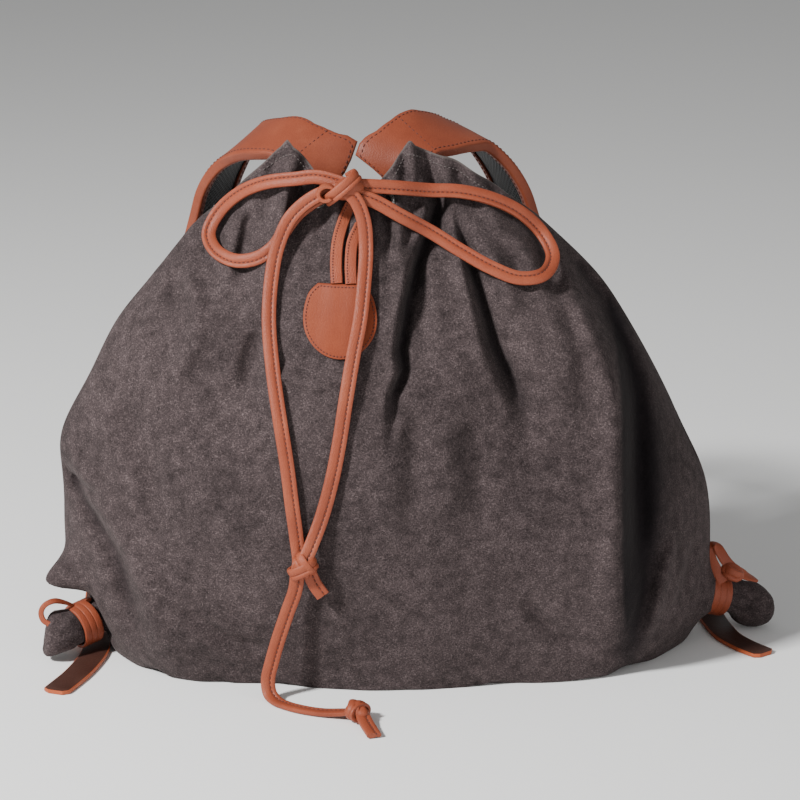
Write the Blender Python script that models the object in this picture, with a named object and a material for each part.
"""A felt drawstring rucksack with leather straps, standing on its base.

Units are metres, Z is up and the front of the bag looks along -Y. The origin lies on the
floor under the middle of the base. Lengths in the tables are shares of the named sizes:
x of BAG_WIDTH, y of BAG_DEPTH and z of BAG_HEIGHT, unless a heading says otherwise.
"""
import math
from collections import namedtuple

import bmesh
import bpy
from mathutils import Vector
from mathutils.bvhtree import BVHTree

# Bag
BAG_WIDTH = 0.496
BAG_DEPTH = 0.214
BAG_HEIGHT = 0.392
FELT = 0.003
GAP = 0.0003

# Tied lower corners
NECK_RADIUS = 0.0130
NUB_RADIUS = 0.0175
LACE_WIDTH = 0.0044
LACE_TURNS = 3
LACE_LIFT = 0.0016
BIGHT_LIFT = 0.0012
LACE_PLACE = 0.70

# Shoulder straps
STRAP_WIDTH = 0.048
COVER_THICKNESS = 0.0018
PAD_THICKNESS = 0.0050
PAD_CROWN = 0.0016
COVER_LIP = 0.0060
YOKE_WIDTH = 0.144
YOKE_HEIGHT = 0.052
YOKE_THICKNESS = 0.0025
TAB_WIDTH = 0.0175
TAB_THICKNESS = 0.0030
TAB_GAP = 0.0009
TAB_SEWN = 0.014

# Drawstring
CORD_WIDTH = 0.0105
CORD_THICKNESS = 0.0040
CORD_SPACING = 0.018
STUB_WIDTH = 0.0080
KNOT_CLEARANCE = 0.0005
EYELET_RADIUS = 0.0062
EYELET_WIRE = 0.0014
EYELET_LIFT = 0.0006
EYELET_SIDES = 12
WIRE_SIDES = 6

# Front patch and closing loop
PATCH_WIDTH = 0.053
PATCH_HEIGHT = 0.050
PATCH_THICKNESS = 0.0020
PLATE_LIFT = 0.0009
PATCH_X = -0.062
PATCH_TOP = 0.762
LOOP_WIDTH = 0.0085
LOOP_THICKNESS = 0.0022
STRIP_LIFT = 0.0018

# How finely curves are measured
CURVE_STEPS = 24
CORD_FINE_STEPS = 600
FOLD_STEPS = 6

# Columns of the felt wall: front to side crease, crease to side, side to back, back to middle
COLUMN_STEPS = (12, 5, 4, 4)
LEVEL_STEPS = 3

Section = namedtuple("Section", "height front back left_x left_y left_crease_x left_crease_y "
                                "right_x right_y right_crease_x right_crease_y droop")
SECTIONS = (
    Section(0.000, -0.462, 0.390, -0.420, -0.010, -0.316, -0.340, 0.478, 0.120, 0.330, -0.330, 0.000),
    Section(0.077, -0.500, 0.440, -0.456, 0.020, -0.340, -0.385, 0.505, 0.160, 0.364, -0.350, 0.000),
    Section(0.191, -0.528, 0.465, -0.494, 0.110, -0.372, -0.350, 0.510, 0.200, 0.364, -0.398, 0.000),
    Section(0.319, -0.533, 0.460, -0.492, 0.120, -0.436, -0.190, 0.500, 0.196, 0.356, -0.412, 0.000),
    Section(0.434, -0.512, 0.430, -0.492, 0.020, -0.440, -0.180, 0.458, 0.150, 0.350, -0.392, 0.000),
    Section(0.548, -0.465, 0.390, -0.446, 0.018, -0.380, -0.215, 0.414, 0.105, 0.338, -0.345, 0.000),
    Section(0.663, -0.400, 0.315, -0.404, 0.026, -0.328, -0.210, 0.366, 0.078, 0.314, -0.270, 0.010),
    Section(0.775, -0.310, 0.230, -0.354, 0.062, -0.262, -0.150, 0.323, 0.086, 0.262, -0.148, 0.045),
)

# The gathered mouth from the left end to the right end, along the front and along the back
MouthPoint = namedtuple("MouthPoint", "x y z")
MOUTH_FRONT = (
    MouthPoint(-0.282, 0.045, 0.842),
    MouthPoint(-0.232, -0.010, 0.895),
    MouthPoint(-0.178, -0.056, 0.962),
    MouthPoint(-0.137, -0.066, 1.000),
    MouthPoint(-0.100, -0.105, 0.950),
    MouthPoint(-0.070, -0.150, 0.926),
    MouthPoint(-0.015, -0.150, 0.926),
    MouthPoint(0.010, -0.110, 0.952),
    MouthPoint(0.036, -0.066, 1.000),
    MouthPoint(0.066, -0.075, 0.978),
    MouthPoint(0.101, -0.056, 0.969),
    MouthPoint(0.153, -0.037, 0.929),
    MouthPoint(0.196, -0.005, 0.888),
    MouthPoint(0.230, 0.055, 0.852),
)
MOUTH_BACK = (
    MouthPoint(-0.282, 0.045, 0.842),
    MouthPoint(-0.200, 0.120, 0.862),
    MouthPoint(-0.100, 0.135, 0.872),
    MouthPoint(-0.040, 0.125, 0.868),
    MouthPoint(0.060, 0.135, 0.874),
    MouthPoint(0.150, 0.125, 0.866),
    MouthPoint(0.230, 0.055, 0.852),
)

# Folds pressed into the front: a path of three places, a width in shares of BAG_WIDTH and
# a depth in shares of BAG_DEPTH. A depth below zero is a ridge.
Fold = namedtuple("Fold", "x0 z0 x1 z1 x2 z2 width depth")
FOLDS = (
    Fold(0.066, 0.980, 0.066, 0.760, 0.026, 0.560, 0.034, 0.062),
    Fold(0.026, 0.600, 0.024, 0.500, 0.012, 0.400, 0.040, 0.022),
    Fold(0.106, 0.880, 0.150, 0.690, 0.200, 0.500, 0.034, 0.036),
    Fold(0.194, 0.560, 0.212, 0.470, 0.222, 0.360, 0.036, 0.046),
    Fold(-0.196, 0.880, -0.206, 0.820, -0.212, 0.720, 0.032, 0.024),
    Fold(-0.200, 0.640, -0.200, 0.560, -0.188, 0.440, 0.046, 0.022),
    Fold(-0.120, 0.880, -0.110, 0.780, -0.100, 0.680, 0.032, 0.020),
    Fold(-0.160, 0.566, -0.100, 0.530, -0.040, 0.560, 0.036, -0.016),
)

# Corners: a place on the felt's grid, then the axis of the neck and of the nub
Corner = namedtuple("Corner", "side column neck_start neck_end nub_middle nub_end")
CORNERS = (
    Corner("left", 33, (-0.436, -0.020, 0.066), (-0.466, -0.082, 0.058),
           (-0.496, -0.146, 0.050), (-0.524, -0.202, 0.044)),
    Corner("right", 17, (0.512, 0.132, 0.084), (0.542, 0.160, 0.072),
           (0.577, 0.192, 0.052), (0.606, 0.216, 0.046)),
)
CORNER_FIRST_LEVEL = 1
CORNER_SPAN = 4

# The standing loop of each lace, in shares of the nub's radius along, above and beside the neck
LACE_BIGHT = ((0.14, 0.00, -0.15), (0.32, 0.30, -0.50), (0.70, 0.75, -0.75), (1.25, 0.90, -0.25),
              (1.05, 0.55, 0.30), (0.45, 0.20, 0.40), (0.14, 0.00, 0.20))
LACE_STEPS = 9

# Straps: a row for each station, with the middle of the strap and the way its width points
Station = namedtuple("Station", "x y z wide_x wide_y wide_z")
LEFT_STRAP = (
    Station(-0.121, 0.239, 0.796, 1.00, 0.00, 0.00),
    Station(-0.115, 0.203, 0.829, 1.00, 0.00, 0.00),
    Station(-0.109, 0.172, 0.862, 1.00, 0.00, 0.02),
    Station(-0.102, 0.163, 0.898, 0.98, 0.08, 0.16),
    Station(-0.093, 0.168, 0.934, 0.93, 0.18, 0.36),
    Station(-0.116, 0.190, 0.966, 0.62, 0.50, 0.58),
    Station(-0.140, 0.236, 0.986, 0.26, 0.76, 0.56),
    Station(-0.169, 0.290, 0.985, 0.08, 0.92, 0.40),
    Station(-0.202, 0.374, 0.972, 0.12, 0.97, 0.18),
    Station(-0.228, 0.481, 0.939, 0.24, 0.97, -0.04),
    Station(-0.250, 0.523, 0.901, 0.42, 0.90, -0.08),
    Station(-0.266, 0.556, 0.857, 0.52, 0.85, -0.06),
    Station(-0.277, 0.571, 0.796, 0.60, 0.80, -0.04),
    Station(-0.298, 0.598, 0.684, 0.68, 0.73, 0.00),
    Station(-0.319, 0.617, 0.566, 0.76, 0.65, 0.00),
    Station(-0.347, 0.603, 0.439, 0.80, 0.60, 0.00),
    Station(-0.379, 0.561, 0.319, 0.82, 0.57, 0.00),
)
RIGHT_STRAP = (
    Station(0.062, 0.240, 0.796, -1.00, 0.00, 0.00),
    Station(0.054, 0.204, 0.829, -1.00, 0.00, 0.00),
    Station(0.044, 0.173, 0.862, -1.00, 0.00, 0.04),
    Station(0.029, 0.164, 0.898, -0.96, 0.08, 0.24),
    Station(0.013, 0.168, 0.934, -0.91, 0.18, 0.38),
    Station(0.026, 0.190, 0.965, -0.68, 0.44, 0.60),
    Station(0.048, 0.238, 0.988, -0.34, 0.72, 0.60),
    Station(0.080, 0.300, 0.990, -0.06, 0.92, 0.40),
    Station(0.109, 0.374, 0.985, -0.12, 0.97, 0.18),
    Station(0.138, 0.450, 0.968, -0.24, 0.97, -0.04),
    Station(0.175, 0.500, 0.918, -0.42, 0.90, -0.08),
    Station(0.200, 0.532, 0.862, -0.50, 0.86, -0.06),
    Station(0.214, 0.555, 0.801, -0.58, 0.81, -0.04),
    Station(0.238, 0.589, 0.689, -0.68, 0.73, 0.00),
    Station(0.270, 0.612, 0.574, -0.76, 0.65, 0.00),
    Station(0.318, 0.598, 0.446, -0.80, 0.60, 0.00),
    Station(0.371, 0.561, 0.319, -0.82, 0.57, 0.00),
)
STRAP_STATIONS = 25
LEFT_TAB = (
    Station(-0.430, 0.440, 0.170, 0.88, 0.42, -0.15),
    Station(-0.452, 0.300, 0.070, 0.94, 0.30, -0.10),
    Station(-0.454, 0.160, 0.0110, 0.99, 0.10, 0.00),
    Station(-0.446, 0.020, 0.0040, 1.00, 0.00, 0.00),
    Station(-0.444, -0.110, 0.0040, 1.00, -0.05, 0.00),
    Station(-0.458, -0.300, 0.0040, 0.98, -0.18, 0.00),
    Station(-0.484, -0.490, 0.0040, 0.97, -0.25, 0.00),
)
RIGHT_TAB = (
    Station(0.438, 0.490, 0.170, -0.86, 0.50, -0.10),
    Station(0.492, 0.400, 0.070, -0.90, 0.40, -0.10),
    Station(0.516, 0.290, 0.0130, -0.98, 0.10, 0.00),
    Station(0.526, 0.170, 0.0045, -0.98, -0.10, 0.00),
    Station(0.536, 0.060, 0.0040, -0.98, -0.20, 0.00),
    Station(0.558, -0.040, 0.0040, -0.89, -0.46, 0.00),
    Station(0.584, -0.120, 0.0040, -0.80, -0.60, 0.00),
)
TAB_STATIONS = 14

# The patch's edge: how far down it, and how wide it is there, from 0 to 1
PATCH_EDGE = ((0.00, 0.64), (0.12, 0.84), (0.30, 0.97), (0.48, 1.00), (0.66, 0.93), (0.84, 0.66), (1.00, 0.14))
PLATE_COLUMNS = 7

# The two strips of the closing loop, from the patch up to the bow knot
StripPoint = namedtuple("StripPoint", "x z")
LEFT_STRIP = (
    StripPoint(-0.069, 0.7680), StripPoint(-0.071, 0.7990), StripPoint(-0.068, 0.8360),
    StripPoint(-0.058, 0.8700), StripPoint(-0.047, 0.8960),
)
RIGHT_STRIP = (
    StripPoint(-0.046, 0.7690), StripPoint(-0.048, 0.8000), StripPoint(-0.047, 0.8360), StripPoint(-0.043, 0.8620),
)
STRIP_STATIONS = 8

# The leather yoke on the back: shares for its middle and its top edge
YOKE_X = -0.029
YOKE_TOP = 0.856
YOKE_ROWS = 4

# Knots in metres: the middle, the way the knot points, its length and its radius
Knot = namedtuple("Knot", "x y z along_x along_y along_z length radius")
BOW_KNOT = Knot(-0.0300, -0.0485, 0.3650, 0.78, 0.00, 0.62, 0.034, 0.0105)
LOWER_KNOT = Knot(-0.0575, -0.1215, 0.1030, 0.90, 0.00, 0.40, 0.024, 0.0085)
END_KNOT = Knot(-0.0180, -0.1575, 0.0078, 0.60, -0.80, 0.00, 0.022, 0.0075)

# A knot's outline from end to end, as shares of half its length and of its radius
KNOT_PROFILE = ((-1.00, 0.00), (-0.82, 0.58), (-0.48, 0.72), (-0.38, 0.60), (-0.30, 0.94), (0.00, 1.00),
                (0.30, 0.94), (0.38, 0.60), (0.48, 0.72), (0.82, 0.58), (1.00, 0.00))
KNOT_SIDES = 12

# Cords in metres, and how far the flat side turns from the front (0) to straight up (1)
CordPoint = namedtuple("CordPoint", "x y z turn")
LEFT_LOOP = (
    CordPoint(-0.0320, -0.0440, 0.3690, 0.10),
    CordPoint(-0.0470, -0.0400, 0.3712, 0.15),
    CordPoint(-0.0637, -0.0367, 0.3693, 0.25),
    CordPoint(-0.0858, -0.0284, 0.3650, 0.30),
    CordPoint(-0.1047, -0.0181, 0.3555, 0.35),
    CordPoint(-0.1206, -0.0116, 0.3403, 0.35),
    CordPoint(-0.1279, -0.0161, 0.3256, 0.35),
    CordPoint(-0.1220, -0.0301, 0.3153, 0.30),
    CordPoint(-0.1068, -0.0421, 0.3103, 0.25),
    CordPoint(-0.0904, -0.0472, 0.3136, 0.25),
    CordPoint(-0.0784, -0.0477, 0.3223, 0.25),
    CordPoint(-0.0698, -0.0452, 0.3351, 0.25),
    CordPoint(-0.0599, -0.0422, 0.3467, 0.25),
    CordPoint(-0.0441, -0.0445, 0.3579, 0.15),
    CordPoint(-0.0320, -0.0440, 0.3630, 0.10),
)
RIGHT_LOOP = (
    CordPoint(-0.0280, -0.0450, 0.3660, 0.10),
    CordPoint(-0.0120, -0.0442, 0.3655, 0.15),
    CordPoint(0.0120, -0.0402, 0.3634, 0.20),
    CordPoint(0.0338, -0.0312, 0.3600, 0.25),
    CordPoint(0.0555, -0.0287, 0.3587, 0.30),
    CordPoint(0.0789, -0.0248, 0.3525, 0.35),
    CordPoint(0.0998, -0.0199, 0.3415, 0.35),
    CordPoint(0.1156, -0.0174, 0.3261, 0.35),
    CordPoint(0.1231, -0.0309, 0.3118, 0.30),
    CordPoint(0.1154, -0.0496, 0.3018, 0.30),
    CordPoint(0.0984, -0.0552, 0.3003, 0.30),
    CordPoint(0.0782, -0.0547, 0.3076, 0.30),
    CordPoint(0.0567, -0.0497, 0.3188, 0.30),
    CordPoint(0.0337, -0.0452, 0.3325, 0.25),
    CordPoint(0.0120, -0.0492, 0.3450, 0.20),
    CordPoint(-0.0060, -0.0485, 0.3550, 0.15),
    CordPoint(-0.0260, -0.0490, 0.3620, 0.10),
)
LEFT_TAIL = (
    CordPoint(-0.0320, -0.0500, 0.3640, 0.10),
    CordPoint(-0.0440, -0.0495, 0.3610, 0.15),
    CordPoint(-0.0557, -0.0490, 0.3541, 0.20),
    CordPoint(-0.0672, -0.0510, 0.3426, 0.20),
    CordPoint(-0.0758, -0.0533, 0.3233, 0.20),
    CordPoint(-0.0800, -0.0588, 0.3031, 0.20),
    CordPoint(-0.0818, -0.0728, 0.2734, 0.20),
    CordPoint(-0.0787, -0.0878, 0.2403, 0.18),
    CordPoint(-0.0735, -0.1013, 0.2070, 0.12),
    CordPoint(-0.0685, -0.1086, 0.1757, 0.08),
    CordPoint(-0.0650, -0.1143, 0.1477, 0.05),
    CordPoint(-0.0618, -0.1150, 0.1220, 0.02),
    CordPoint(-0.0600, -0.1180, 0.1060, 0.00),
)
RIGHT_TAIL = (
    CordPoint(-0.0270, -0.0530, 0.3640, 0.10),
    CordPoint(-0.0196, -0.0540, 0.3570, 0.15),
    CordPoint(-0.0138, -0.0570, 0.3424, 0.20),
    CordPoint(-0.0123, -0.0625, 0.3223, 0.20),
    CordPoint(-0.0137, -0.0760, 0.2996, 0.20),
    CordPoint(-0.0164, -0.0880, 0.2765, 0.20),
    CordPoint(-0.0207, -0.0941, 0.2549, 0.18),
    CordPoint(-0.0263, -0.1036, 0.2227, 0.14),
    CordPoint(-0.0313, -0.1096, 0.1912, 0.10),
    CordPoint(-0.0371, -0.1141, 0.1629, 0.06),
    CordPoint(-0.0443, -0.1164, 0.1374, 0.03),
    CordPoint(-0.0517, -0.1210, 0.1185, 0.00),
    CordPoint(-0.0570, -0.1250, 0.1050, 0.00),
)
SHORT_END = (
    CordPoint(-0.0530, -0.1210, 0.0990, 0.00),
    CordPoint(-0.0490, -0.1200, 0.0900, 0.00),
    CordPoint(-0.0433, -0.1195, 0.0815, 0.00),
)
LONG_END = (
    CordPoint(-0.0612, -0.1210, 0.1000, 0.00),
    CordPoint(-0.0630, -0.1195, 0.0860, 0.00),
    CordPoint(-0.0690, -0.1175, 0.0680, 0.00),
    CordPoint(-0.0755, -0.1160, 0.0480, 0.00),
    CordPoint(-0.0808, -0.1150, 0.0290, 0.05),
    CordPoint(-0.0838, -0.1155, 0.0150, 0.30),
    CordPoint(-0.0825, -0.1185, 0.0065, 0.65),
    CordPoint(-0.0780, -0.1245, 0.0030, 0.95),
    CordPoint(-0.0710, -0.1315, 0.0024, 1.00),
    CordPoint(-0.0590, -0.1400, 0.0024, 1.00),
    CordPoint(-0.0440, -0.1465, 0.0026, 1.00),
    CordPoint(-0.0300, -0.1515, 0.0045, 1.00),
    CordPoint(-0.0200, -0.1565, 0.0070, 1.00),
)
KNOT_TIP = (
    CordPoint(-0.0160, -0.1600, 0.0070, 1.00),
    CordPoint(-0.0110, -0.1740, 0.0040, 1.00),
    CordPoint(-0.0060, -0.1900, 0.0026, 1.00),
)
LEFT_STUB = (
    CordPoint(-0.0440, -0.0400, 0.3560, 0.10),
    CordPoint(-0.0390, -0.0415, 0.3585, 0.10),
    CordPoint(-0.0320, -0.0440, 0.3620, 0.10),
)
RIGHT_STUB = (
    CordPoint(-0.0050, -0.0400, 0.3555, 0.10),
    CordPoint(-0.0110, -0.0400, 0.3580, 0.10),
    CordPoint(-0.0240, -0.0430, 0.3630, 0.10),
)
# The eyelets in shares of BAG_WIDTH and BAG_HEIGHT
Eyelet = namedtuple("Eyelet", "side x z")
EYELETS = (Eyelet("left", -0.0968, 0.9031), Eyelet("right", 0.0081, 0.8980))


def remove_all_objects():
    """Start from an empty scene."""
    for item in list(bpy.data.objects):
        bpy.data.objects.remove(item, do_unlink=True)


def make_material(name, colour, roughness, metallic=0.0):
    """A Principled BSDF with one colour, roughness and metallic value."""
    material = bpy.data.materials.new(name)
    material.use_nodes = True
    shader = material.node_tree.nodes["Principled BSDF"]
    shader.inputs["Base Color"].default_value = (*colour, 1.0)
    shader.inputs["Roughness"].default_value = roughness
    shader.inputs["Metallic"].default_value = metallic
    material.diffuse_color = (*colour, 1.0)
    return material


def add_object(name, data, material):
    """Link mesh or curve data to the scene as a named object."""
    data.materials.append(material)
    item = bpy.data.objects.new(name, data)
    bpy.context.scene.collection.objects.link(item)
    return item


def mesh_from_bmesh(name, shape, smooth_angle=math.radians(40)):
    """Turn a bmesh into a mesh with outward normals, shaded smooth up to an angle."""
    bmesh.ops.recalc_face_normals(shape, faces=shape.faces)
    mesh = bpy.data.meshes.new(name)
    shape.to_mesh(mesh)
    shape.free()
    mesh.shade_smooth()
    mesh.set_sharp_from_angle(angle=smooth_angle)
    return mesh


def bag_point(x, y, z):
    """A place given as shares of the bag's width, depth and height."""
    return Vector((x * BAG_WIDTH, y * BAG_DEPTH, z * BAG_HEIGHT))


def spline_point(before, start, end, after, share):
    """A point between start and end on a centripetal Catmull-Rom curve."""
    first = max((start - before).length, 1e-6) ** 0.5
    middle = max((end - start).length, 1e-6) ** 0.5
    last = max((after - end).length, 1e-6) ** 0.5
    leave = ((start - before) / first - (end - before) / (first + middle) + (end - start) / middle) * middle
    arrive = ((end - start) / middle - (after - start) / (middle + last) + (after - end) / last) * middle
    square, cube = share ** 2, share ** 3
    return ((2 * cube - 3 * square + 1) * start + (cube - 2 * square + share) * leave
            + (3 * square - 2 * cube) * end + (cube - square) * arrive)


def open_curve(points, steps):
    """The curve through the points, with the same number of steps in each stretch."""
    padded = [2 * points[0] - points[1], *points, 2 * points[-1] - points[-2]]
    curve = [spline_point(*padded[i:i + 4], k / steps) for i in range(len(points) - 1) for k in range(steps)]
    return curve + [points[-1].copy()]


def curve_at(points, place):
    """The smooth curve through the points at a place counted in points from its start."""
    index = min(int(place), len(points) - 2)
    padded = [2 * points[0] - points[1], *points, 2 * points[-1] - points[-2]]
    return spline_point(*padded[index:index + 4], place - index)


def even_places(points, count):
    """Places at even distances along the smooth curve through the points."""
    fine = [k / CURVE_STEPS for k in range((len(points) - 1) * CURVE_STEPS + 1)]
    line = [curve_at(points, place) for place in fine]
    lengths = [0.0]
    for a, b in zip(line, line[1:]):
        lengths.append(lengths[-1] + (b - a).length)
    places, index = [], 0
    for k in range(count):
        target = lengths[-1] * k / (count - 1)
        while index < len(fine) - 2 and lengths[index + 1] < target:
            index += 1
        share = (target - lengths[index]) / (lengths[index + 1] - lengths[index])
        places.append(fine[index] + share * (fine[index + 1] - fine[index]))
    return places


def even_curve(points, count):
    """Points at even distances along the smooth curve through the given points."""
    return [curve_at(points, place) for place in even_places(points, count)]


def tangents(points):
    """The direction of travel at each point of an open line."""
    ends = [points[0], *points, points[-1]]
    return [(ends[i + 2] - ends[i]).normalized() for i in range(len(points))]


def section_loop(row):
    """One closed ring of felt at the height of a table row, counterclockwise from the front."""
    back_left = (0.74 * row.left_x, 0.80 * row.back)
    back_right = (0.74 * row.right_x, 0.80 * row.back)
    front_left = (0.55 * row.left_crease_x, 0.86 * row.front)
    front_right = (0.55 * row.right_crease_x, 0.86 * row.front)
    outline = ((0.0, row.front), front_right, (row.right_crease_x, row.right_crease_y),
               (row.right_x, row.right_y), back_right, (0.0, row.back), back_left,
               (row.left_x, row.left_y), (row.left_crease_x, row.left_crease_y), front_left)
    half_front = COLUMN_STEPS[0]
    steps = (half_front // 2, half_front - half_front // 2, *COLUMN_STEPS[1:],
             *reversed(COLUMN_STEPS[1:]), half_front - half_front // 2, half_front // 2)
    points = [bag_point(x, y, row.height) for x, y in outline]
    loop = []
    for i, count in enumerate(steps):
        four = [points[(i + k) % len(points)] for k in (-1, 0, 1, 2)]
        loop.extend(spline_point(*four, k / count) for k in range(count))
    for point in loop:
        reach = abs(point.x) / (BAG_WIDTH * max(row.right_x, -row.left_x))
        point.z -= row.droop * BAG_HEIGHT * reach ** 2
    return loop


def height_on_line(line, x):
    """The point of a line of points that run in +X, at a given x."""
    for a, b in zip(line, line[1:]):
        if a.x <= x <= b.x:
            return a.lerp(b, (x - a.x) / (b.x - a.x))
    return line[0].copy() if x < line[0].x else line[-1].copy()


def mouth_loop(below):
    """The gathered rim, one point above each point of the ring below it."""
    front = open_curve([bag_point(*row) for row in MOUTH_FRONT], 8)
    back = open_curve([bag_point(*row) for row in MOUTH_BACK], 8)
    left, right = min(p.x for p in below), max(p.x for p in below)
    left_at = min(range(len(below)), key=lambda k: below[k].x)
    right_at = max(range(len(below)), key=lambda k: below[k].x)
    loop = []
    for k, point in enumerate(below):
        share = (point.x - left) / (right - left)
        x = front[0].x + share * (front[-1].x - front[0].x)
        on_back = right_at <= k <= left_at
        loop.append(height_on_line(back if on_back else front, x))
    return loop


def fold_depth(x, z):
    """How deep the folds press into the front at a place. Each one fades towards its second end."""
    place = Vector((x, 0, z))
    depth = 0.0
    for fold in FOLDS:
        line = open_curve([bag_point(fold.x0, 0, fold.z0), bag_point(fold.x1, 0, fold.z1),
                           bag_point(fold.x2, 0, fold.z2)], FOLD_STEPS)
        closest = []
        for k, (start, end) in enumerate(zip(line, line[1:])):
            share = min(max((place - start).dot(end - start) / (end - start).length_squared, 0), 1)
            closest.append(((place - start.lerp(end, share)).length, (k + share) / (len(line) - 1)))
        distance, along = min(closest)
        fade = 1 - along ** 4
        depth += fade * fold.depth * BAG_DEPTH * math.exp(-(distance / (fold.width * BAG_WIDTH)) ** 2)
    return depth


def felt_levels():
    """All rings of the felt wall, from the base to the rim."""
    rings = [section_loop(row) for row in SECTIONS]
    rings.append(mouth_loop(rings[-1]))
    columns = [open_curve(list(column), LEVEL_STEPS) for column in zip(*rings)]
    front_columns = sum(COLUMN_STEPS[:2])
    for k, column in enumerate(columns):
        if front_columns - 2 < k < len(columns) - front_columns + 2:
            continue
        for point in column[1:]:
            point.y += fold_depth(point.x, point.z)
    return [list(ring) for ring in zip(*columns)]


def disc_place(across, up):
    """Map a place in the square from -1 to 1 to the unit disc."""
    reach = math.hypot(across, up)
    return (0.0, 0.0) if reach == 0 else (across * max(abs(across), abs(up)) / reach,
                                          up * max(abs(across), abs(up)) / reach)


def corner_frames(corner):
    """The rings of a tied corner: centre, axis and radius from the neck to the nub's end."""
    start, end = bag_point(*corner.neck_start), bag_point(*corner.neck_end)
    middle, tip = bag_point(*corner.nub_middle), bag_point(*corner.nub_end)
    rings = ((start, NECK_RADIUS), (start.lerp(end, 0.5), 0.94 * NECK_RADIUS), (end, NECK_RADIUS),
             (end.lerp(middle, 0.5), 0.90 * NUB_RADIUS), (middle, NUB_RADIUS),
             (middle.lerp(tip, 0.62), 0.82 * NUB_RADIUS))
    axes = tangents([centre for centre, _ in rings])
    return [(centre, axis, radius) for (centre, radius), axis in zip(rings, axes)], tip


def add_corner(shape, grid, corner):
    """Draw one lower corner of the felt out into a neck and a nub."""
    half = CORNER_SPAN // 2
    columns = [(corner.column + k) % len(grid[0]) for k in range(-half, half + 1)]
    levels = range(CORNER_FIRST_LEVEL, CORNER_FIRST_LEVEL + CORNER_SPAN + 1)
    patch = [[grid[level][column] for column in columns] for level in levels]
    inner = {vert for row in patch[1:-1] for vert in row[1:-1]}
    faces = {face for vert in inner for face in vert.link_faces}
    across_all = patch[half][-1].co - patch[half][0].co
    bmesh.ops.delete(shape, geom=list(faces), context="FACES_ONLY")
    for vert in inner:
        shape.verts.remove(vert)
    edge = ([(0, k) for k in range(CORNER_SPAN)] + [(k, CORNER_SPAN) for k in range(CORNER_SPAN)]
            + [(CORNER_SPAN, k) for k in range(CORNER_SPAN, 0, -1)] + [(k, 0) for k in range(CORNER_SPAN, 0, -1)])
    ring = [patch[row][column] for row, column in edge]
    frames, tip = corner_frames(corner)
    for centre, axis, radius in frames:
        across = (across_all - across_all.dot(axis) * axis).normalized()
        up = across.cross(axis)
        up = up if up.z > 0 else -up
        new_ring = []
        for row, column in edge:
            a, b = disc_place(2 * column / CORNER_SPAN - 1, 2 * row / CORNER_SPAN - 1)
            new_ring.append(shape.verts.new(centre + radius * (a * across + b * up)))
        for k in range(len(ring)):
            following = (k + 1) % len(ring)
            shape.faces.new((ring[k], ring[following], new_ring[following], new_ring[k]))
        ring = new_ring
    cap = dict(zip(edge, ring))
    for row in range(1, CORNER_SPAN):
        for column in range(1, CORNER_SPAN):
            a, b = disc_place(2 * column / CORNER_SPAN - 1, 2 * row / CORNER_SPAN - 1)
            bulge = (tip - centre) * (1 - a * a - b * b)
            cap[row, column] = shape.verts.new(centre + radius * (a * across + b * up) + bulge)
    for row in range(CORNER_SPAN):
        for column in range(CORNER_SPAN):
            shape.faces.new((cap[row, column], cap[row, column + 1],
                             cap[row + 1, column + 1], cap[row + 1, column]))


def felt_skin():
    """The outer skin of the bag, open at the mouth, with a flat base and tied corners."""
    shape = bmesh.new()
    grid = [[shape.verts.new(point) for point in ring] for ring in felt_levels()]
    count = len(grid[0])
    for lower, upper in zip(grid, grid[1:]):
        for k in range(count):
            following = (k + 1) % count
            shape.faces.new((lower[k], lower[following], upper[following], upper[k]))
    shape.faces.new(list(reversed(grid[0])))
    for corner in CORNERS:
        add_corner(shape, grid, corner)
    return shape


def make_bag(material):
    """The felt bag: its skin, given the thickness of the felt inwards."""
    bag = add_object("bag_body", mesh_from_bmesh("bag_body", felt_skin()), material)
    wall = bag.modifiers.new("felt", "SOLIDIFY")
    wall.thickness = FELT
    wall.offset = -1.0
    return bag


def make_ribbon(name, points, wide_ways, profile, material):
    """Sweep a closed profile (across, out) along a line whose width points the given ways.

    Twisted sides are split along the same diagonal on every piece, so that pieces swept
    along one line stay a gap apart.
    """
    shape = bmesh.new()
    rings = []
    for point, travel, way in zip(points, tangents(points), wide_ways):
        wide = (way - way.dot(travel) * travel).normalized()
        out = wide.cross(travel)
        rings.append([shape.verts.new(point + a * wide + b * out) for a, b in profile])
    count = len(profile)
    for lower, upper in zip(rings, rings[1:]):
        for k in range(count):
            following = (k + 1) % count
            if profile[k] < profile[following]:
                shape.faces.new((lower[k], lower[following], upper[following]))
                shape.faces.new((lower[k], upper[following], upper[k]))
            else:
                shape.faces.new((lower[k], lower[following], upper[k]))
                shape.faces.new((lower[following], upper[following], upper[k]))
    shape.faces.new(list(reversed(rings[0])))
    shape.faces.new(rings[-1])
    return add_object(name, mesh_from_bmesh(name, shape), material)


def strap_line(rows, count, first_places=(), first_way=None):
    """The middle line of a strap and the way its width points, after some first places if given."""
    places = list(first_places) + [bag_point(row.x, row.y, row.z) for row in rows]
    ways = [first_way] * len(first_places) + [Vector((row.wide_x, row.wide_y, row.wide_z)) for row in rows]
    stations = even_places(places, count)
    return [curve_at(places, place) for place in stations], [curve_at(ways, place) for place in stations]


def cover_profile(outwards):
    """The leather cover: a flat band whose edges turn round the pad and end in two lips."""
    half, skin = STRAP_WIDTH / 2, COVER_THICKNESS
    inside = PAD_THICKNESS + 2 * GAP
    points = ((-half, skin), (half, skin), (half, -inside - skin), (half - COVER_LIP, -inside - skin),
              (half - COVER_LIP, -inside), (half - skin, -inside), (half - skin, 0),
              (-half + skin, 0), (-half + skin, -inside), (-half + COVER_LIP, -inside),
              (-half + COVER_LIP, -inside - skin), (-half, -inside - skin))
    return [(a, b * outwards) for a, b in points]


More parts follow.
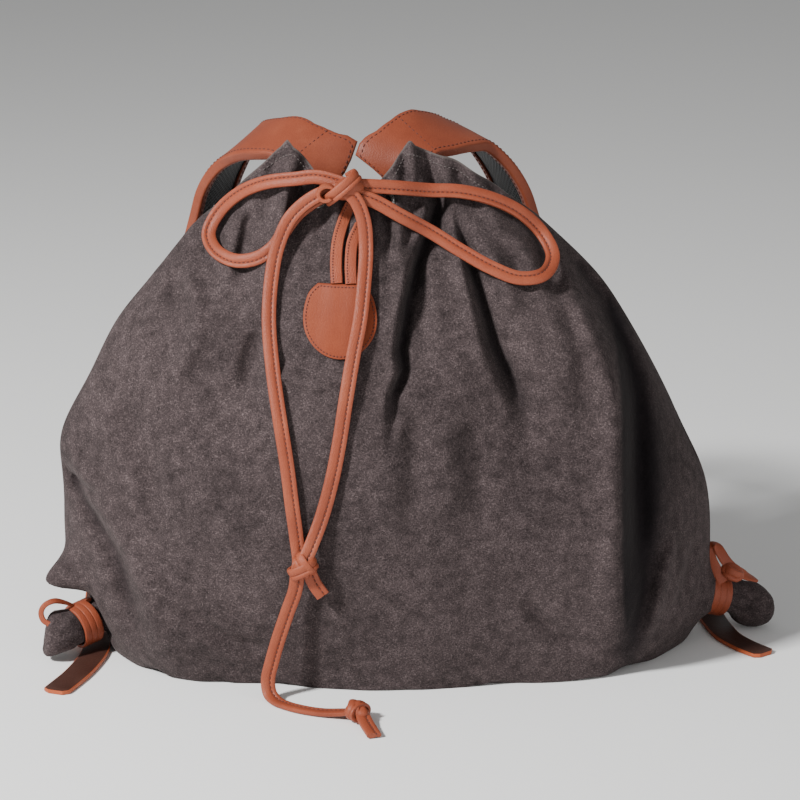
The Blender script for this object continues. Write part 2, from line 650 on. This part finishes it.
def pad_profile(outwards):
    """The pad under the cover, crowned between the cover's two lips."""
    half = STRAP_WIDTH / 2 - COVER_THICKNESS - GAP
    inner = STRAP_WIDTH / 2 - COVER_LIP - GAP
    points = ((-half, -GAP), (half, -GAP), (half, -PAD_THICKNESS - GAP), (inner, -PAD_THICKNESS - GAP),
              (0.6 * inner, -PAD_THICKNESS - GAP - PAD_CROWN), (-0.6 * inner, -PAD_THICKNESS - GAP - PAD_CROWN),
              (-inner, -PAD_THICKNESS - GAP), (-half, -PAD_THICKNESS - GAP))
    return [(a, b * outwards) for a, b in points]


def band_profile(width, thickness):
    """A flat band with bevelled edges."""
    half, low = width / 2, thickness / 2
    cut = 0.35 * thickness
    return ((-half + cut, low), (half - cut, low), (half, low - cut), (half, -low + cut),
            (half - cut, -low), (-half + cut, -low), (-half, -low + cut), (-half, low - cut))


def make_straps(leather, mesh_cloth):
    """Both shoulder straps with their pads, and the narrow straps that hold the corners."""
    for side, rows, tab_rows, outwards in (("left", LEFT_STRAP, LEFT_TAB, 1),
                                           ("right", RIGHT_STRAP, RIGHT_TAB, -1)):
        line, ways = strap_line(rows, STRAP_STATIONS)
        make_ribbon("strap_cover_" + side, line, ways, cover_profile(outwards), leather)
        make_ribbon("strap_pad_" + side, line, ways, pad_profile(outwards), mesh_cloth)
        travel = (line[-1] - line[-2]).normalized()
        out = ways[-1].cross(travel).normalized() * outwards
        seat = line[-1] + travel * TAB_GAP - out * PAD_THICKNESS / 2
        line, ways = strap_line(tab_rows, TAB_STATIONS, (seat, seat + travel * TAB_SEWN), ways[-1])
        for point in line:
            point.z = max(point.z, TAB_THICKNESS / 2 + GAP)
        make_ribbon("strap_end_" + side, line, ways, band_profile(TAB_WIDTH, TAB_THICKNESS), leather)


def surface_from(tree, x, z, towards):
    """The place where a level line in +Y (towards 1) or -Y (towards -1) meets the felt."""
    far = 2 * BAG_DEPTH
    hit, _, _, _ = tree.ray_cast(Vector((x, -far * towards, z)), Vector((0, towards, 0)))
    return hit.y if hit else 0.0


def knot_frame(knot):
    """The middle of a knot and the unit vector along it."""
    return Vector((knot.x, knot.y, knot.z)), Vector((knot.along_x, knot.along_y, knot.along_z)).normalized()


def make_knot(name, knot, material):
    """A pulled knot: a wrap round the middle with a lobe at each end."""
    middle, along = knot_frame(knot)
    side = along.orthogonal().normalized()
    other = along.cross(side)
    shape = bmesh.new()
    rings = []
    for place, reach in KNOT_PROFILE:
        centre = middle + along * place * knot.length / 2
        if reach == 0:
            rings.append([shape.verts.new(centre)])
            continue
        angles = [2 * math.pi * k / KNOT_SIDES for k in range(KNOT_SIDES)]
        rings.append([shape.verts.new(centre + knot.radius * reach * (math.cos(a) * side + math.sin(a) * other))
                      for a in angles])
    for lower, upper in zip(rings, rings[1:]):
        for k in range(KNOT_SIDES):
            following = (k + 1) % KNOT_SIDES
            corners = (lower[k % len(lower)], lower[following % len(lower)],
                       upper[following % len(upper)], upper[k % len(upper)])
            shape.faces.new(list(dict.fromkeys(corners)))
    return add_object(name, mesh_from_bmesh(name, shape), material)


def outside_knots(point, knots):
    """True where a point is clear of the rounded space that each knot fills."""
    for knot in knots:
        middle, along = knot_frame(knot)
        offset = point - middle
        lengthways = offset.dot(along)
        sideways = (offset - lengthways * along).length
        reach = knot.length / 2 + KNOT_CLEARANCE
        radius = knot.radius + KNOT_CLEARANCE
        if (lengthways / reach) ** 2 + (sideways / radius) ** 2 < 1:
            return False
    return True


def make_cord(name, rows, knots, width, material):
    """A flat leather cord along its route, cut off where it enters a knot."""
    route = [Vector(row[:3]) for row in rows]
    turns = [Vector((row.turn, 0, 0)) for row in rows]
    places = even_places(route, CORD_FINE_STEPS)
    fine = [curve_at(route, place) for place in places]
    kept = []
    for point, travel, along in zip(fine, tangents(fine), places):
        angle = curve_at(turns, along).x * math.pi / 2
        wide = Vector((0, -math.cos(angle), math.sin(angle))).cross(travel).normalized()
        across, through = wide * width / 2, wide.cross(travel) * CORD_THICKNESS / 2
        section = [point + a * across + b * through for a in (-1, 0, 1) for b in (-1, 0, 1)]
        if all(outside_knots(place, knots) for place in section):
            kept.append((point, wide))
    length = sum((b[0] - a[0]).length for a, b in zip(kept, kept[1:]))
    count = max(4, round(length / CORD_SPACING) + 1)
    picked = [kept[round(k * (len(kept) - 1) / (count - 1))] for k in range(count)]
    points = [point for point, _ in picked]
    curve = bpy.data.curves.new(name, "CURVE")
    curve.dimensions = "3D"
    curve.twist_mode = "Z_UP"
    curve.extrude = (width - CORD_THICKNESS) / 2
    curve.bevel_depth = CORD_THICKNESS / 2
    curve.bevel_resolution = 0
    curve.use_fill_caps = True
    spline = curve.splines.new("POLY")
    spline.points.add(count - 1)
    tilt = 0.0
    for item, travel, (point, wide) in zip(spline.points, tangents(points), picked):
        upright = Vector((0, 0, 1)) - travel.z * travel
        wanted = math.atan2(wide.dot(travel.cross(upright)), wide.dot(upright))
        tilt = wanted + math.pi * round((tilt - wanted) / math.pi)
        item.co = (*point, 1.0)
        item.tilt = tilt
    return add_object(name, curve, material)


def make_drawstring(leather):
    """The drawstring: its bow, its two tails and its two ends, with a knot where they meet."""
    make_knot("bow_knot", BOW_KNOT, leather)
    make_knot("lower_knot", LOWER_KNOT, leather)
    make_knot("end_knot", END_KNOT, leather)
    for side, loop, tail, stub in (("left", LEFT_LOOP, LEFT_TAIL, LEFT_STUB),
                                   ("right", RIGHT_LOOP, RIGHT_TAIL, RIGHT_STUB)):
        make_cord("drawstring_loop_" + side, loop, (BOW_KNOT,), CORD_WIDTH, leather)
        make_cord("drawstring_tail_" + side, tail, (BOW_KNOT, LOWER_KNOT), CORD_WIDTH, leather)
        make_cord("drawstring_stub_" + side, stub, (BOW_KNOT,), STUB_WIDTH, leather)
    make_cord("drawstring_short_end", SHORT_END, (LOWER_KNOT,), CORD_WIDTH, leather)
    make_cord("drawstring_long_end", LONG_END, (LOWER_KNOT, END_KNOT), CORD_WIDTH, leather)
    make_cord("drawstring_tip", KNOT_TIP, (END_KNOT,), CORD_WIDTH, leather)


def make_plate(name, tree, outline, thickness, towards, material):
    """A leather plate that lies on the felt, from a grid of places (x, z) in rows."""
    shape = bmesh.new()
    layers = []
    for lift in (PLATE_LIFT, PLATE_LIFT + thickness):
        layers.append([[shape.verts.new((x, surface_from(tree, x, z, towards) - towards * lift, z))
                        for x, z in row] for row in outline])
    under, over = layers
    rows, columns = len(outline), len(outline[0])
    for layer, order in ((under, 1), (over, -1)):
        for i in range(rows - 1):
            for k in range(columns - 1):
                corners = (layer[i][k], layer[i][k + 1], layer[i + 1][k + 1], layer[i + 1][k])
                shape.faces.new(corners[::order])
    edge = ([(0, k) for k in range(columns - 1)] + [(k, columns - 1) for k in range(rows - 1)]
            + [(rows - 1, k) for k in range(columns - 1, 0, -1)] + [(k, 0) for k in range(rows - 1, 0, -1)])
    for here, there in zip(edge, edge[1:] + edge[:1]):
        shape.faces.new((under[here[0]][here[1]], under[there[0]][there[1]],
                         over[there[0]][there[1]], over[here[0]][here[1]]))
    return add_object(name, mesh_from_bmesh(name, shape), material)


def make_patch(tree, leather):
    """The round leather patch on the front, with a flat top and a slight point below."""
    rows = []
    for down, wide in PATCH_EDGE:
        half = wide * PATCH_WIDTH / 2
        z = PATCH_TOP * BAG_HEIGHT - down * PATCH_HEIGHT
        rows.append([(PATCH_X * BAG_WIDTH + half * (2 * k / (PLATE_COLUMNS - 1) - 1), z)
                     for k in range(PLATE_COLUMNS)])
    return make_plate("front_patch", tree, rows, PATCH_THICKNESS, 1, leather)


def make_yoke(tree, leather):
    """The leather yoke on the back panel, which both shoulder straps are sewn to."""
    rows = []
    for i in range(YOKE_ROWS):
        z = YOKE_TOP * BAG_HEIGHT - YOKE_HEIGHT * i / (YOKE_ROWS - 1)
        rows.append([(YOKE_X * BAG_WIDTH - YOKE_WIDTH * (k / (PLATE_COLUMNS - 1) - 0.5), z)
                     for k in range(PLATE_COLUMNS)])
    return make_plate("back_yoke", tree, rows, YOKE_THICKNESS, -1, leather)


def make_closing_loop(tree, leather):
    """The two leather strips of the closing loop, lying on the felt above the patch."""
    for side, rows in (("left", LEFT_STRIP), ("right", RIGHT_STRIP)):
        line = even_curve([bag_point(row.x, 0, row.z) for row in rows], STRIP_STATIONS)
        lift = STRIP_LIFT + LOOP_THICKNESS / 2
        points = [Vector((point.x, surface_from(tree, point.x, point.z, 1) - lift, point.z)) for point in line]
        ways = [Vector((0, -1, 0)).cross(travel) for travel in tangents(points)]
        make_ribbon("closing_strip_" + side, points, ways, band_profile(LOOP_WIDTH, LOOP_THICKNESS), leather)


def make_eyelets(tree, steel):
    """The two metal eyelets in the front of the mouth that the drawstring comes out of."""
    for eyelet in EYELETS:
        side, x, z = eyelet.side, eyelet.x * BAG_WIDTH, eyelet.z * BAG_HEIGHT
        y = surface_from(tree, x, z, 1)
        _, normal, _, _ = tree.find_nearest(Vector((x, y, z)))
        turn = normal.to_track_quat("Z", "Y")
        places = []
        for k in range(EYELET_SIDES):
            angle = 2 * math.pi * k / EYELET_SIDES
            outwards = turn @ Vector((math.cos(angle), math.sin(angle), 0))
            places.append([Vector((x, y, z)) + outwards * (EYELET_RADIUS + EYELET_WIRE * math.cos(part))
                           + normal * EYELET_WIRE * math.sin(part)
                           for part in (2 * math.pi * i / WIRE_SIDES for i in range(WIRE_SIDES))])
        depths = []
        for place in (point for ring in places for point in ring):
            near, near_normal, _, _ = tree.find_nearest(place)
            depths.append((place - near).dot(near_normal))
        lift = EYELET_LIFT - min(depths)
        shape = bmesh.new()
        rings = [[shape.verts.new(point + normal * lift) for point in ring] for ring in places]
        for lower, upper in zip(rings, rings[1:] + rings[:1]):
            for i in range(WIRE_SIDES):
                following = (i + 1) % WIRE_SIDES
                shape.faces.new((lower[i], lower[following], upper[following], upper[i]))
        add_object("eyelet_" + side, mesh_from_bmesh("eyelet_" + side, shape), steel)


def make_round_cord(name, points, material):
    """A round lace along its points."""
    curve = bpy.data.curves.new(name, "CURVE")
    curve.dimensions = "3D"
    curve.bevel_depth = LACE_WIDTH / 2
    curve.bevel_resolution = 2
    curve.use_fill_caps = True
    spline = curve.splines.new("POLY")
    spline.points.add(len(points) - 1)
    for item, point in zip(spline.points, points):
        item.co = (*point, 1.0)
    return add_object(name, curve, material)


def make_laces(leather):
    """The lace wound round each corner's neck, and the loop of it that stands out."""
    for corner in CORNERS:
        start, end = bag_point(*corner.neck_start), bag_point(*corner.neck_end)
        axis = (end - start).normalized()
        middle = start.lerp(end, LACE_PLACE)
        side = axis.cross(Vector((0, 0, 1))).normalized()
        up = side.cross(axis)
        radius = NECK_RADIUS + LACE_WIDTH / 2 + LACE_LIFT
        length = LACE_TURNS * (LACE_WIDTH + 2 * GAP)
        points = []
        for k in range(LACE_TURNS * LACE_STEPS + 1):
            share = k / (LACE_TURNS * LACE_STEPS)
            angle = 2 * math.pi * LACE_TURNS * share
            points.append(middle + axis * length * (share - 0.5)
                          + radius * (math.cos(angle) * up + math.sin(angle) * side))
        make_round_cord("corner_lace_" + corner.side, points, leather)
        seat = radius + LACE_WIDTH / 2 + BIGHT_LIFT
        outline = [middle + axis * along * NUB_RADIUS + up * (seat + rise * NUB_RADIUS) + side * aside * NUB_RADIUS
                   for along, rise, aside in LACE_BIGHT]
        make_round_cord("lace_bight_" + corner.side, even_curve(outline, LACE_STEPS + 3), leather)


def main():
    """Build every piece of the rucksack."""
    remove_all_objects()
    felt = make_material("felt", (0.105, 0.085, 0.075), 0.95)
    leather = make_material("leather", (0.50, 0.17, 0.085), 0.50)
    mesh_cloth = make_material("mesh_cloth", (0.02, 0.02, 0.022), 0.80)
    steel = make_material("steel", (0.30, 0.29, 0.28), 0.35, 1.0)
    make_bag(felt)
    skin = felt_skin()
    skin.normal_update()
    tree = BVHTree.FromBMesh(skin)
    skin.free()
    make_straps(leather, mesh_cloth)
    make_yoke(tree, leather)
    make_patch(tree, leather)
    make_closing_loop(tree, leather)
    make_eyelets(tree, steel)
    make_drawstring(leather)
    make_laces(leather)


main()
